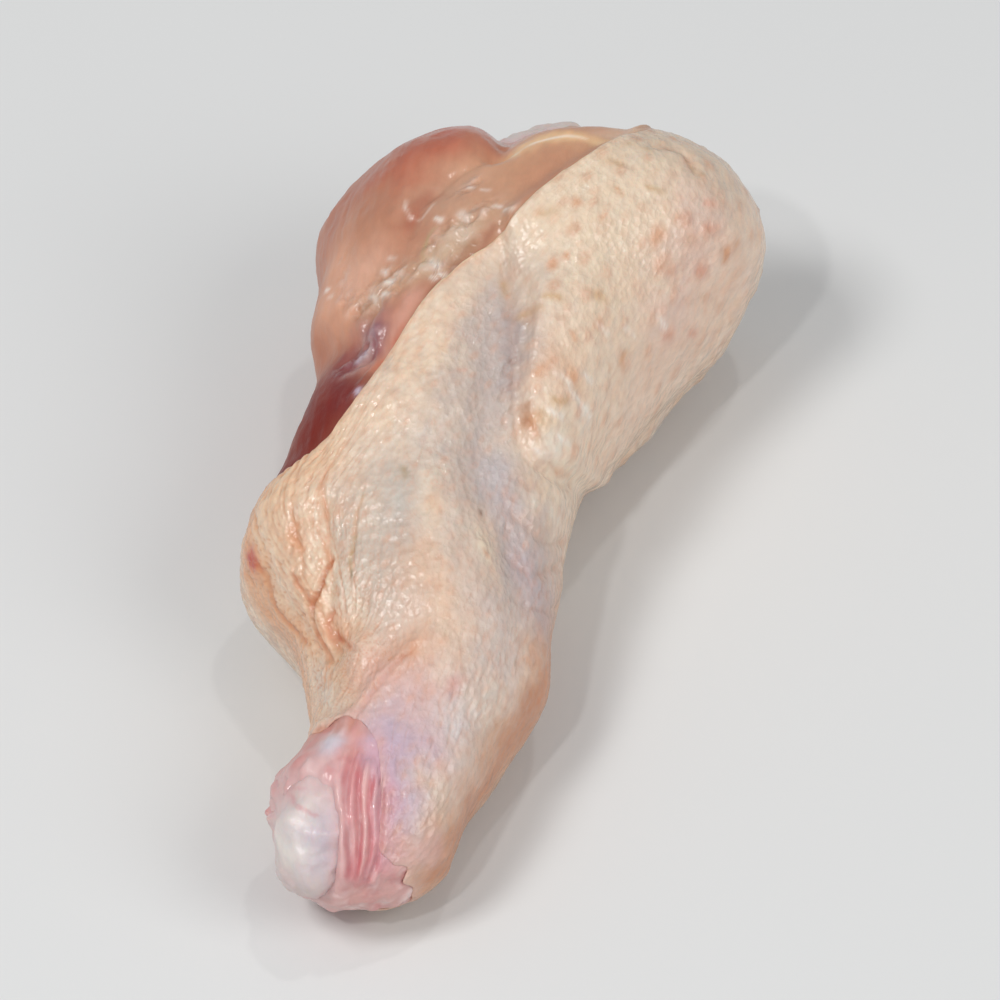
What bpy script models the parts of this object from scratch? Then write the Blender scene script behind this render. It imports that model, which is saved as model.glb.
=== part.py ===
"""A raw chicken drumette, lying on its flatter side.

The drumette is three pieces: the skin, a shell that is open at both ends and cut away over
the muscle of the thick end; the meat inside it; and the bone, which runs right through and
shows as gristle at the knuckle and at the shoulder. +X runs along the bone from the knuckle
to the shoulder, +Z is up, and the origin lies under the middle of the drumette.

A place on the body is (along, round): the distance along it in millimetres, measured over
the two rounded ends too, and the angle round the bone, which is 0 on top and 90 degrees at
the left, +Y. Sizes below are in millimetres.
"""

import bmesh
import bpy
import numpy as np
from mathutils import Vector

MM = 0.001

# Smooth body: x, centre y, half width, top z, underside z. The underside sinks below z = 0,
# where it is flattened, because the drumette lies on a tray.
SECTIONS = np.array(
    [
        (-7, 0.5, 7.2, 13.5, 1.5),
        (0, 0.0, 8.4, 15.5, 0.8),
        (10, -1.2, 9.2, 17.5, 0.3),
        (20, -1.6, 12.0, 20.5, -0.3),
        (31, 2.4, 15.3, 23.5, -0.8),
        (38, 1.6, 14.3, 25.2, -0.8),
        (46, 0.3, 13.9, 26.8, -0.6),
        (57, -0.7, 16.3, 29.0, -0.8),
        (67, -2.3, 19.4, 30.5, -1.0),
        (77, -5.0, 22.4, 30.0, -0.6),
        (87, -8.0, 23.4, 27.4, 0.6),
    ]
)
SQUARENESS = 2.3  # exponent of a section's outline, 2 for an ellipse
KNUCKLE_CAP = 7.0  # length of the rounded knuckle end, which starts at x = 0
SHOULDER_CAP = 16.0  # length of the rounded shoulder end
SHOULDER_CAP_START = 69.5
ALONG_START = -KNUCKLE_CAP * np.pi / 2
ALONG_END = SHOULDER_CAP_START + SHOULDER_CAP * np.pi / 2
MIDDLE = np.array([39.4, -4.3, 0.0])  # middle of the box round the drumette

# Edges of the skin: (round, along).
KNUCKLE_EDGE = (
    (-180, -4), (-120, -5.2), (-75, -5.9), (-50, -6.2), (-34, -6), (-23, -4.6), (-14, -1.5),
    (-4, 2.5), (8, 5.5), (40, 7.2), (70, 8.2), (100, 8), (130, 7), (152, 4), (168, -1.5),
)  # fmt: skip
SHOULDER_EDGE = (
    (-180, 84), (-140, 83), (-95, 82), (-60, 83), (-34, 83), (-25, 78), (-17, 69.5),
    (-8, 62), (3, 56.5), (12, 52), (19, 47), (25, 42.2), (32, 38.3), (42, 36.4), (66, 35.5),
    (90, 38), (115, 44), (135, 55), (150, 70), (162, 81),
)  # fmt: skip
EDGE_WAVES = ((0.45, 5, 0.4), (0.25, 11, 2.1))  # height, count round the edge, phase

SKIN_THICKNESS = 2.2  # with the fat under it
RIM_THICKNESS = 1.2
RIM_TAPER = 7.0
GAP = 0.4  # between two pieces
FLOOR_SKIN = 1.4  # thickness of the skin where it lies flat
BARE_MEAT_DEPTH = 0.45  # of the muscle that shows, below the skin's surface
MEAT_STEPS = (0.9, 2.0)  # from the skin's edge to where the bare muscle starts and ends to rise

# The raised pad of thick skin on the right of the shoulder end: its edge as (round, along).
PAD_EDGE = (
    (-180, 63), (-140, 55), (-105, 47), (-81, 43.3), (-62, 41), (-47, 40), (-40, 43.5),
    (-34, 47.5), (-28, 53.5), (-13, 59), (0, 67.5), (12, 80), (60, 97), (120, 97), (150, 80),
)  # fmt: skip
PAD_RISE = 1.2
PAD_RAMP = 2.6

# Folds: half width, height (negative for a crease) and path as (along, round).
SKIN_FOLDS = (
    (3.4, -1.4, ((58, -15), (50.5, -18), (43, -27), (35, -31), (27.8, -50), (19, -64))),
    (0.9, -0.5, ((30, 24), (24, 32), (20, 44), (15, 44))),
    (0.9, -0.4, ((26, 64), (20, 63), (16, 54))),
    (1.2, 0.4, ((16, -8), (11, 9), (6.6, 22))),
    (1.6, 0.8, ((15.6, 25), (15, 25))),
    (2.0, -0.8, ((64, 176), (44, 179), (24, 190))),
    (1.8, -0.7, ((66, -118), (46, -112), (24, -120))),
)
MEAT_FOLDS = (
    (2.6, -0.7, ((72, 10), (69, 15), (65, 20.5), (60, 24), (54, 36))),
    (1.9, -1.5, ((73.5, 7.5), (77.5, 11.5), (83, 20))),
    (4.6, 0.9, ((78, 26), (76, 35))),
    (3.0, 1.3, ((77, -8), (79, -16), (80, -24))),
    (6.0, -1.0, ((72, 56), (65, 60))),
    (8.0, -2.2, ((91.5, 50), (90.5, 70))),
    (2.2, -0.9, ((52, 62), (49, 40), (47, 27))),
    (1.8, -0.9, ((82, 96), (68, 98), (54, 88), (45, 78))),
    (0.6, 0.6, ((2, 4), (-3, 6), (-8, 12))),
    (0.6, 0.6, ((2, -6), (-3, -8), (-8, -16))),
    (1.3, 1.2, ((4, 74), (2, 80))),
)

# Gentle unevenness of the whole body.
SEED = 7
WAVES = 8
WAVE_LENGTHS = (9.0, 24.0)
WAVE_HEIGHT = 0.13

# Bone: (distance from its knuckle end, radius), the axis it lies on, and its knobs.
BONE_PROFILE = ((0, 3.4), (8, 4.1), (18, 3.5), (44, 3.4), (63, 4.6), (76, 6.6))
BONE_START = np.array([-1.0, 0.8, 8.6])
BONE_END = np.array([79.0, -5.2, 15.2])
BONE_SIDES = 18
# Middle and radii of the two knuckles and of the head at the shoulder.
KNOBS = {
    "outer_knuckle": ((-0.7, 4.1, 9.3), (7.6, 4.8, 6.2)),
    "inner_knuckle": ((-0.4, -1.2, 7.6), (4.4, 2.8, 3.4)),
    "shoulder_head": ((79.4, -5.2, 15.8), (7.6, 9.0, 8.2)),
}
KNOB_SEGMENTS = 18
KNOB_RINGS = 11

COLUMNS = 60  # round the body
SKIN_RINGS = 33
LINING_RINGS = 13
BARE_RINGS = 12
KNUCKLE_RINGS = 4

MATERIALS = {
    "skin": ((0.73, 0.55, 0.42), 0.35),
    "meat": ((0.50, 0.23, 0.15), 0.25),
    "bone": ((0.72, 0.66, 0.66), 0.30),
}


def smooth_through(knots, values, at):
    """Cubic curve through the values at the knots, its slopes taken from the neighbours."""
    slopes = np.gradient(values, knots)
    i = np.clip(np.searchsorted(knots, at) - 1, 0, len(knots) - 2)
    span = knots[i + 1] - knots[i]
    t = np.clip((at - knots[i]) / span, 0, 1)
    start = (2 * t**3 - 3 * t**2 + 1) * values[i] + (t**3 - 2 * t**2 + t) * span * slopes[i]
    end = (3 * t**2 - 2 * t**3) * values[i + 1] + (t**3 - t**2) * span * slopes[i + 1]
    return start + end


def smooth_round(pairs, degrees):
    """Value of a closed (round, along) edge at the given angles."""
    knots, values = np.array(pairs, float).T
    knots = np.concatenate([knots - 360, knots, knots + 360])
    return smooth_through(knots, np.tile(values, 3), degrees)


def smooth_step(t):
    t = np.clip(t, 0, 1)
    return t * t * (3 - 2 * t)


def body(along, degrees):
    """Points of the smooth body, before it is flattened underneath."""
    knuckle = np.clip(along / KNUCKLE_CAP, -np.pi / 2, 0)
    shoulder = np.clip((along - SHOULDER_CAP_START) / SHOULDER_CAP, 0, np.pi / 2)
    barrel = np.clip(along, 0, SHOULDER_CAP_START)
    x = barrel + KNUCKLE_CAP * np.sin(knuckle) + SHOULDER_CAP * np.sin(shoulder)
    shrink = np.cos(knuckle) * np.cos(shoulder)
    centre, half_width, top, underside = (
        smooth_through(SECTIONS[:, 0], SECTIONS[:, column], x) for column in (1, 2, 3, 4)
    )
    angle = np.radians(degrees)
    up, side = np.cos(angle), np.sin(angle)
    reach = (np.abs(up) ** SQUARENESS + np.abs(side) ** SQUARENESS) ** (-1 / SQUARENESS)
    y = centre + half_width * shrink * side * reach
    z = (top + underside) / 2 + (top - underside) / 2 * shrink * up * reach
    return np.stack(np.broadcast_arrays(x, y, z), axis=-1) - MIDDLE


def normals(along, degrees):
    step = 0.2
    inside = np.clip(along, ALONG_START + 2 * step, ALONG_END - 2 * step)
    lengthways = body(inside + step, degrees) - body(inside - step, degrees)
    crossways = body(inside, degrees + step) - body(inside, degrees - step)
    across = np.cross(lengthways, crossways)
    return across / np.linalg.norm(across, axis=-1, keepdims=True)


def distance_to_path(points, path):
    """Distance of each point to a smooth line through (along, round) places on the body."""
    along, degrees = np.array(path, float).T
    knots = np.arange(len(path), dtype=float)
    at = np.linspace(0, len(path) - 1, 6 * len(path))
    line = body(smooth_through(knots, along, at), smooth_through(knots, degrees, at))
    nearest = np.full(points.shape[:-1], np.inf)
    for start, end in zip(line[:-1], line[1:]):
        run = end - start
        t = np.clip(((points - start) @ run) / (run @ run + 1e-9), 0, 1)
        gap = np.linalg.norm(points - start - t[..., None] * run, axis=-1)
        nearest = np.minimum(nearest, gap)
    return nearest


def fold_height(points, folds):
    height = np.zeros(points.shape[:-1])
    for half_width, rise, path in folds:
        height += rise * np.exp(-((distance_to_path(points, path) / half_width) ** 2))
    return height


def unevenness(points):
    draw = np.random.default_rng(SEED)
    height = np.zeros(points.shape[:-1])
    for _ in range(WAVES):
        heading = draw.normal(size=3)
        heading /= np.linalg.norm(heading)
        length = draw.uniform(*WAVE_LENGTHS)
        phase = draw.uniform(0, 2 * np.pi)
        height += WAVE_HEIGHT * np.sin(points @ heading * 2 * np.pi / length + phase)
    return height


def pad_height(along, degrees):
    return PAD_RISE * smooth_step((along - smooth_round(PAD_EDGE, degrees)) / PAD_RAMP + 0.5)


def edge_of(pairs, degrees):
    edge = smooth_round(pairs, degrees)
    for height, count, phase in EDGE_WAVES:
        edge = edge + height * np.sin(np.radians(degrees) * count + phase)
    return edge


def slant(edge, degrees):
    """How much longer a step along the body is than the same step square to its edge."""
    points = body(edge, degrees)
    round_step = np.linalg.norm(np.roll(points, -1, 0) - np.roll(points, 1, 0), axis=-1)
    along_step = np.roll(edge, -1) - np.roll(edge, 1)
    across = np.sqrt(np.maximum(round_step**2 - along_step**2, 0.2 * round_step**2))
    return np.sqrt(1 + (along_step / across) ** 2)


def lining_depth(fraction, knuckle_edge, shoulder_edge):
    """Depth of the skin's inner face, which comes up towards both of its edges."""
    to_edge = np.minimum(fraction, 1 - fraction) * (shoulder_edge - knuckle_edge)
    return RIM_THICKNESS + (SKIN_THICKNESS - RIM_THICKNESS) * smooth_step(to_edge / RIM_TAPER)


def sunk(along, degrees, depth, lowest):
    points = body(along, degrees) - normals(along, degrees) * depth[..., None]
    points[..., 2] = np.maximum(points[..., 2], lowest)
    return points


def strip_faces(first, second):
    """Triangles between two rings of vertex numbers, facing out where second is further on.

    Each quad is split along the diagonal that the slant of the skin's edge leaves shorter.
    """
    first_next, second_next = np.roll(first, -1), np.roll(second, -1)
    edge = edge_of(SHOULDER_EDGE, degrees_round())
    falling = (np.roll(edge, -1) < edge)[:, None]
    lower = np.where(
        falling,
        np.stack([first, second, second_next], axis=1),
        np.stack([first, second, first_next], axis=1),
    )
    upper = np.where(
        falling,
        np.stack([first, second_next, first_next], axis=1),
        np.stack([second, second_next, first_next], axis=1),
    )
    return np.concatenate([lower, upper])


def fan_faces(pole, ring):
    return np.stack([np.full(len(ring), pole), ring, np.roll(ring, -1)], axis=1)


def rings_faces(rings):
    return np.concatenate([strip_faces(a, b) for a, b in zip(rings[:-1], rings[1:])])


def degrees_round():
    return np.arange(COLUMNS) * 360 / COLUMNS - 180


def add_mesh(name, points, faces, collection):
    mesh = bpy.data.meshes.new(name)
    mesh.from_pydata((points * MM).tolist(), [], faces.tolist())
    mesh.shade_smooth()
    made = bpy.data.objects.new(name, mesh)
    collection.objects.link(made)
    return made


def add_skin(collection):
    degrees = degrees_round()
    knuckle, shoulder = edge_of(KNUCKLE_EDGE, degrees), edge_of(SHOULDER_EDGE, degrees)
    fraction = np.linspace(0, 1, SKIN_RINGS)[:, None]
    along = knuckle + fraction * (shoulder - knuckle)
    base = body(along, degrees)
    height = pad_height(along, degrees) + fold_height(base, SKIN_FOLDS) + unevenness(base)
    outer = sunk(along, degrees, -height, 0.0)

    fraction = np.linspace(0, 1, LINING_RINGS)[:, None]
    along = knuckle + fraction * (shoulder - knuckle)
    inner = sunk(along, degrees, lining_depth(fraction, knuckle, shoulder), FLOOR_SKIN)

    points = np.concatenate([outer, inner])
    rings = np.arange(len(points) * COLUMNS).reshape(-1, COLUMNS)
    outer_rings, inner_rings = rings[:SKIN_RINGS], rings[SKIN_RINGS:]
    faces = [
        rings_faces(outer_rings),
        rings_faces(inner_rings)[:, ::-1],
        strip_faces(outer_rings[-1], inner_rings[-1]),
        strip_faces(inner_rings[0], outer_rings[0]),
    ]
    return add_mesh("skin", points.reshape(-1, 3), np.concatenate(faces), collection)


def add_meat(collection):
    degrees = degrees_round()
    knuckle, shoulder = edge_of(KNUCKLE_EDGE, degrees), edge_of(SHOULDER_EDGE, degrees)
    knuckle_slant, shoulder_slant = slant(knuckle, degrees), slant(shoulder, degrees)
    near, far = MEAT_STEPS

    def bare(start, end, steps):
        """Rings of muscle that shows, level with the skin but for its own folds."""
        along = start + np.linspace(0, 1, steps)[:, None] * (end - start)
        base = body(along, degrees)
        height = fold_height(base, MEAT_FOLDS) + unevenness(base)
        return sunk(along, degrees, BARE_MEAT_DEPTH - height, GAP)

    def rim(along):
        depth = np.full(COLUMNS, RIM_THICKNESS + GAP)
        return sunk(along, degrees, depth, FLOOR_SKIN + GAP)[None]

    fraction = np.linspace(0, 1, LINING_RINGS)[:, None]
    depth = lining_depth(fraction, knuckle, shoulder) + GAP
    covered_along = knuckle + fraction * (shoulder - knuckle)
    covered = sunk(covered_along, degrees, depth, FLOOR_SKIN + GAP)
    knuckle_start = knuckle - far * knuckle_slant
    shoulder_start = shoulder + far * shoulder_slant
    rows = [
        bare(ALONG_START + 1, knuckle_start, KNUCKLE_RINGS),
        rim(knuckle - near * knuckle_slant),
        covered,
        rim(shoulder + near * shoulder_slant),
        bare(shoulder_start, np.full(COLUMNS, ALONG_END - 1), BARE_RINGS),
    ]
    points = np.concatenate(rows).reshape(-1, 3)
    rings = np.arange(len(points)).reshape(-1, COLUMNS)
    poles = [points[rings[0]].mean(axis=0), points[rings[-1]].mean(axis=0)]
    faces = [
        rings_faces(rings),
        fan_faces(len(points), rings[0]),
        fan_faces(len(points) + 1, rings[-1])[:, ::-1],
    ]
    return add_mesh("meat", np.concatenate([points, poles]), np.concatenate(faces), collection)


def add_shaft(name, grow, collection):
    """The bone's shaft, turned about its own Z and then laid along the bone's axis."""
    along, radius = np.array(BONE_PROFILE, float).T
    along += grow * np.sign(along - along.mean())
    radius += grow
    rim = [(r, 0, a) for a, r in zip(along[::-1], radius[::-1])]
    outline = [(0, 0, along[-1]), *rim, (0, 0, along[0])]
    edges = [(i, i + 1) for i in range(len(outline) - 1)]
    mesh = bpy.data.meshes.new(name)
    mesh.from_pydata((np.array(outline) * MM).tolist(), edges, [])
    shaft = bpy.data.objects.new(name, mesh)
    collection.objects.link(shaft)
    screw = shaft.modifiers.new("turned", "SCREW")
    screw.steps = BONE_SIDES
    screw.render_steps = BONE_SIDES
    screw.use_merge_vertices = True
    screw.merge_threshold = 0.0001
    start, end = Vector((BONE_START - MIDDLE) * MM), Vector((BONE_END - MIDDLE) * MM)
    shaft.location = start
    shaft.rotation_euler = (end - start).to_track_quat("Z", "Y").to_euler()
    return shaft


def add_knobs(name, grow, helpers):
    """The gristle knobs of both ends, as a collection that a Boolean joins to the shaft."""
    knobs = bpy.data.collections.new(f"{name} knobs")
    helpers.children.link(knobs)
    for knob_name, (middle, radii) in KNOBS.items():
        ball = bmesh.new()
        bmesh.ops.create_uvsphere(
            ball, u_segments=KNOB_SEGMENTS, v_segments=KNOB_RINGS, radius=1
        )
        bmesh.ops.scale(ball, vec=(np.array(radii) + grow) * MM, verts=ball.verts)
        mesh = bpy.data.meshes.new(f"{name}_{knob_name}")
        ball.to_mesh(mesh)
        ball.free()
        mesh.shade_smooth()
        knob = bpy.data.objects.new(mesh.name, mesh)
        knob.location = (np.array(middle) - MIDDLE) * MM
        knobs.objects.link(knob)
        hide_helper(knob)
    return knobs


def add_bone(name, grow, collection, helpers):
    bone = add_shaft(name, grow, collection)
    union = bone.modifiers.new("knobs", "BOOLEAN")
    union.operation = "UNION"
    union.operand_type = "COLLECTION"
    union.collection = add_knobs(name, grow, helpers)
    return bone


def hide_helper(helper):
    helper.hide_render = True
    helper.display_type = "WIRE"


def add_material(made, color, roughness):
    material = bpy.data.materials.new(made.name)
    material.use_nodes = True
    shader = material.node_tree.nodes["Principled BSDF"]
    shader.inputs["Base Color"].default_value = (*color, 1)
    shader.inputs["Roughness"].default_value = roughness
    made.data.materials.append(material)


def main():
    for old in list(bpy.data.objects):
        bpy.data.objects.remove(old, do_unlink=True)
    parts = bpy.data.collections.new("raw chicken drumette")
    cutters = bpy.data.collections.new("cutters")
    for collection in (parts, cutters):
        bpy.context.scene.collection.children.link(collection)

    skin = add_skin(parts)
    meat = add_meat(parts)
    bone = add_bone("bone", 0, parts, cutters)
    channel = add_bone("bone_channel", GAP, cutters, cutters)
    hide_helper(channel)
    cut = meat.modifiers.new("bone channel", "BOOLEAN")
    cut.operation = "DIFFERENCE"
    cut.object = channel

    for made in (skin, meat, bone):
        add_material(made, *MATERIALS[made.name])


main()
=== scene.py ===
"""Looks of a raw chicken drumette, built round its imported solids.

Each of the three solids is replaced by a finer mesh of the same form: the skin with its
follicles, wrinkles and cut edge, the muscle with its grain and membrane, and the bone's
gristle. Colour is painted on the vertices as soft strokes, and the materials add what is
finer than the meshes.

A place on the body is (along, round): the distance along it in millimetres, measured over
the two rounded ends too, and the angle round the bone, which is 0 on top and 90 degrees at
the left, +Y. Sizes below are in millimetres and colours are sRGB out of 255.
"""

import itertools

import bmesh
import bpy
import numpy as np
from mathutils import Matrix, Vector, kdtree

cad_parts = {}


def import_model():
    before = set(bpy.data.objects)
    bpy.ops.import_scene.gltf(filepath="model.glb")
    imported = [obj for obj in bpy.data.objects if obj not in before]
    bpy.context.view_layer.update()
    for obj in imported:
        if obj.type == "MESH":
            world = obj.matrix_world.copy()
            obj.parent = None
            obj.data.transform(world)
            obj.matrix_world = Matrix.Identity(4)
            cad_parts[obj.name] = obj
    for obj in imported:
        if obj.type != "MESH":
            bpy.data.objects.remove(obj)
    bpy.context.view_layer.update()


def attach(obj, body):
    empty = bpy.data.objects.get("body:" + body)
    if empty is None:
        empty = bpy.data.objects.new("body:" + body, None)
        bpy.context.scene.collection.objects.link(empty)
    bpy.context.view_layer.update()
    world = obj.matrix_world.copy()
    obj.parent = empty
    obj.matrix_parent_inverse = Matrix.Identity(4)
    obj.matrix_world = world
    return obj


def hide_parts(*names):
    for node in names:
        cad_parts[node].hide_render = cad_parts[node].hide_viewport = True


MM = 0.001

# --- The form, as in the part's source ---

# Smooth body: x, centre y, half width, top z, underside z.
SECTIONS = np.array((
    (-7, 0.5, 7.2, 13.5, 1.5), (0, 0.0, 8.4, 15.5, 0.8), (10, -1.2, 9.2, 17.5, 0.3),
    (20, -1.6, 12.0, 20.5, -0.3), (31, 2.4, 15.3, 23.5, -0.8), (38, 1.6, 14.3, 25.2, -0.8),
    (46, 0.3, 13.9, 26.8, -0.6), (57, -0.7, 16.3, 29.0, -0.8), (67, -2.3, 19.4, 30.5, -1.0),
    (77, -5.0, 22.4, 30.0, -0.6), (87, -8.0, 23.4, 27.4, 0.6),
))
SQUARENESS = 2.3
KNUCKLE_CAP = 7.0
SHOULDER_CAP = 16.0
SHOULDER_CAP_START = 69.5
ALONG_START = -KNUCKLE_CAP * np.pi / 2
ALONG_END = SHOULDER_CAP_START + SHOULDER_CAP * np.pi / 2
MIDDLE = np.array([39.4, -4.3, 0.0])

# Edges of the skin: (round, along).
KNUCKLE_EDGE = (
    (-180, -4), (-120, -5.2), (-75, -5.9), (-50, -6.2), (-34, -6), (-23, -4.6), (-14, -1.5),
    (-4, 2.5), (8, 5.5), (40, 7.2), (70, 8.2), (100, 8), (130, 7), (152, 4), (168, -1.5),
)
SHOULDER_EDGE = (
    (-180, 84), (-140, 83), (-95, 82), (-60, 83), (-34, 83), (-25, 78), (-17, 69.5),
    (-8, 62), (3, 56.5), (12, 52), (19, 47), (25, 42.2), (32, 38.3), (42, 36.4), (66, 35.5),
    (90, 38), (115, 44), (135, 55), (150, 70), (162, 81),
)
EDGE_WAVES = ((0.45, 5, 0.4), (0.25, 11, 2.1))

PAD_EDGE = (
    (-180, 63), (-140, 55), (-105, 47), (-81, 43.3), (-62, 41), (-47, 40), (-40, 43.5),
    (-34, 47.5), (-28, 53.5), (-13, 59), (0, 67.5), (12, 80), (60, 97), (120, 97), (150, 80),
)
PAD_RISE = 1.2
PAD_RAMP = 2.6

# Folds: half width, height and path, written flat: along, round, along, round and so on.
SKIN_FOLDS = (
    (3.4, -1.4, (58, -15, 50.5, -18, 43, -27, 35, -31, 27.8, -50, 19, -64)),
    (0.9, -0.5, (30, 24, 24, 32, 20, 44, 15, 44)), (0.9, -0.4, (26, 64, 20, 63, 16, 54)),
    (1.2, 0.4, (16, -8, 11, 9, 6.6, 22)), (1.6, 0.8, (15.6, 25, 15, 25)),
    (2.0, -0.8, (64, 176, 44, 179, 24, 190)), (1.8, -0.7, (66, -118, 46, -112, 24, -120)),
)
MEAT_FOLDS = (
    (2.6, -0.7, (72, 10, 69, 15, 65, 20.5, 60, 24, 54, 36)),
    (1.9, -1.5, (73.5, 7.5, 77.5, 11.5, 83, 20)), (4.6, 0.9, (78, 26, 76, 35)),
    (3.0, 1.3, (77, -8, 79, -16, 80, -24)), (6.0, -1.0, (72, 56, 65, 60)),
    (8.0, -2.2, (91.5, 50, 90.5, 70)), (2.2, -0.9, (52, 62, 49, 40, 47, 27)),
    (1.8, -0.9, (82, 96, 68, 98, 54, 88, 45, 78)), (0.6, 0.6, (2, 4, -3, 6, -8, 12)),
    (0.6, 0.6, (2, -6, -3, -8, -8, -16)), (1.3, 1.2, (4, 74, 2, 80)),
)

SEED = 7
WAVES = 8
WAVE_LENGTHS = (9.0, 24.0)
WAVE_HEIGHT = 0.13

BONE_PROFILE = ((0, 3.4), (8, 4.1), (18, 3.5), (44, 3.4), (63, 4.6), (76, 6.6))
BONE_START = np.array([-1.0, 0.8, 8.6])
BONE_END = np.array([79.0, -5.2, 15.2])
KNOBS = (
    ((-0.7, 4.1, 9.3), (7.6, 4.8, 6.2)),
    ((-0.4, -1.2, 7.6), (4.4, 2.8, 3.4)),
    ((79.4, -5.2, 15.8), (7.6, 9.0, 8.2)),
)

# --- Finer relief ---

# Paths of lines that show both in the relief and in the colours.
LONG_CREASE = (24.2, 33, 22, 44, 20.8, 52, 19, 56, 17, 53, 15, 48)
LEFT_CREASE = (27.3, 68, 25.6, 68, 23.5, 76, 21.3, 73, 19, 68)
LOW_CREASE = (19.8, 43, 18.8, 48, 16.6, 46, 15.2, 38)
LOWEST_CREASE = (17.8, 45, 17.2, 44, 16, 36, 14.7, 28)
SHANK_FOLD = (14.7, -4, 11.9, 6, 8.7, 15, 6.5, 22, 6.6, 34, 6.9, 46)
MEMBRANE_BAND = (63.4, -3, 60.9, 5, 58, 11, 56, 19, 55, 28, 53.8, 34)
VIOLET_BAND = (50.3, 32, 48.5, 34, 47.2, 38, 46.7, 42)

# Creases and ridges, as the folds: half width, height and path.
SKIN_CREASES = (
    (0.5, -0.4, (58.5, -12, 51.5, -24, 45.5, -34, 42, -41, 39, -51, 39.8, -70, 42, -80)),
    (0.3, -0.3, (48.2, -31, 47.4, -28, 46.2, -28)), (0.3, -0.3, (45.6, -34, 44.6, -31, 43.6, -31)),
    (0.3, -0.3, (43.4, -38, 42.2, -35, 41.2, -36)), (0.24, -0.12, (31, 10, 27.1, 16, 22.8, 26)),
    (0.24, -0.16, (33.6, 27, 28.6, 26, 23.3, 35)), (0.24, -0.34, LONG_CREASE),
    (0.22, -0.22, (24.2, 52, 22.5, 52, 20.8, 52)), (0.26, -0.22, LEFT_CREASE),
    (0.2, -0.1, (31, 58, 26.5, 58, 22.5, 60, 20, 60)), (0.2, -0.1, (28.1, 31, 25.8, 32, 24, 34)),
    (0.2, -0.1, (34, 38, 30, 38, 26, 42, 23, 48)), (0.3, -0.25, LOW_CREASE),
    (0.3, -0.36, LOWEST_CREASE), (0.8, 0.3, (27.1, -34, 27, -33)),
    (0.5, -0.3, (33, -45, 32.6, -67, 36, -85)), (0.5, -0.3, (28.6, -50, 28.6, -64, 33, -85)),
    (0.5, -0.25, (24.5, -52, 26, -75, 30, -95)),
    (0.6, 0.2, (15.6, -6, 12.9, 6, 9.8, 16, 7.6, 25, 7.6, 36, 8, 48)), (0.3, -0.25, SHANK_FOLD),
    (0.6, -0.4, (75.5, -32, 76.5, -39, 74.5, -45)), (1, 0.35, (3.2, 25, 3.9, 25)),
)
# Cords of the knuckle's tissue, with creases between.
KNUCKLE_CORDS = (
    (0.5, 0.4, (2.6, 16, -0.5, 15, -3.4, 12, -8.5, 4)),
    (0.3, 0.3, (2.8, 8, -0.4, 7, -3.4, 2, -8.5, -6)),
    (0.42, 0.45, (1.6, 0, -1.2, -1, -3.8, -7, -8.5, -18)),
    (0.28, 0.2, (0.4, -8, -2, -10, -4.4, -17, -8.5, -30)),
    (0.4, 0.25, (-1, -17, -3.4, -22, -5.4, -30, -8.5, -44)),
    (0.3, -0.35, (3.2, 12, -0.4, 11, -3.4, 7, -8.5, -1)),
    (0.3, -0.35, (2.4, 4, -0.8, 3, -3.6, -2, -8.5, -12)),
    (0.3, -0.35, (0.8, -4, -1.7, -6, -4.1, -12, -8.5, -24)),
    (0.3, -0.3, (-0.4, -12, -2.8, -16, -5, -24, -8.5, -37)),
)
MEAT_CREASES = (
    (0.6, -0.25, (77, 11, 72, 10, 69, 15, 65, 20.5, 61, 23)),
    (0.24, 0.16, (67.4, 28.5, 65.1, 27, 63.6, 24)), (0.24, 0.12, (65.4, 18.5, 64.4, 21)),
    (0.8, 0.4, (91, 0, 84, 8, 79, -6)), (0.7, 0.35, (90, 130, 85, 116, 78, 104)),
    (0.8, 0.35, (91, -50, 86, -62, 82, -50)), (0.6, 0.3, (91, 90, 85, 74, 80, 76)),
    (0.5, -0.4, (53, 30, 50, 38, 48, 48)), (0.5, 0.35, (50, 29, 46, 27, 42, 29)),
    (0.8, 0.5, (4, 26, 3.4, 26)), (0.6, 0.45, (1.8, 35, 1.2, 38)), (0.5, 0.35, (2.8, 44, 2.2, 47)),
    (0.6, 0.4, (0.6, 50, 0, 52)), (0.5, 0.35, (1, 22, 0.5, 23)),
)
# Lumps of noise: height, size, seed and number of layers, each half the size of the last.
SKIN_LUMPS = ((0.1, (8, 3, 3), 21, 1), (0.09, 2.4, 31, 3))
MEAT_LUMPS = ((0.12, 5, 111, 3), (0.03, 1.2, 119, 2))
MUSCLE_GRAIN = ((0.05, (9, 0.8, 0.8), 113, 1),)
TISSUE_LUMPS = ((0.2, 1.5, 117, 3),)
BONE_LUMPS = ((0.5, 4, 161, 3), (0.08, (4, 0.8, 0.8), 171, 1))
NOISE_REPEAT = 32  # lumps after which the noise repeats

# Depths under the smooth body.
LINING_DEPTH = 2.0  # inside of the skin
HIDDEN_DEPTH = 2.6  # meat under the skin
KNUCKLE_DEPTH = 0.1  # bare tissue of the knuckle
SHOULDER_DEPTH = 0.5  # bare muscle
RIM_DEPTH = 0.45  # of meat at the skin's rim, below the skin's surface
BARE_RAMP = 2.2  # length over which the meat rises as it comes out of the skin
LINING_FLOOR = 1.0  # lowest z of the lining
MEAT_FLOOR = 0.4  # and of the meat

# Wetness of the muscle, 0 to 1: strokes over a base, each half width, wetness and path.
MEAT_WETNESS = 0.5
WET_STROKES = (
    (5, 0.9, (78, 24, 73, 20, 70, 30)), (3, 1, MEMBRANE_BAND),
    (9, 0.1, (60, 62, 50, 54, 42, 50, 37, 60)), (1.8, 1, VIOLET_BAND),
    (7, 0, (42, 52, 38, 48, 36, 60, 38, 76)), (3.5, 0.1, (76, -20, 75.5, -8, 73, 4)),
    (8, 0.2, (78, 60, 66, 66)),
)
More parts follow.
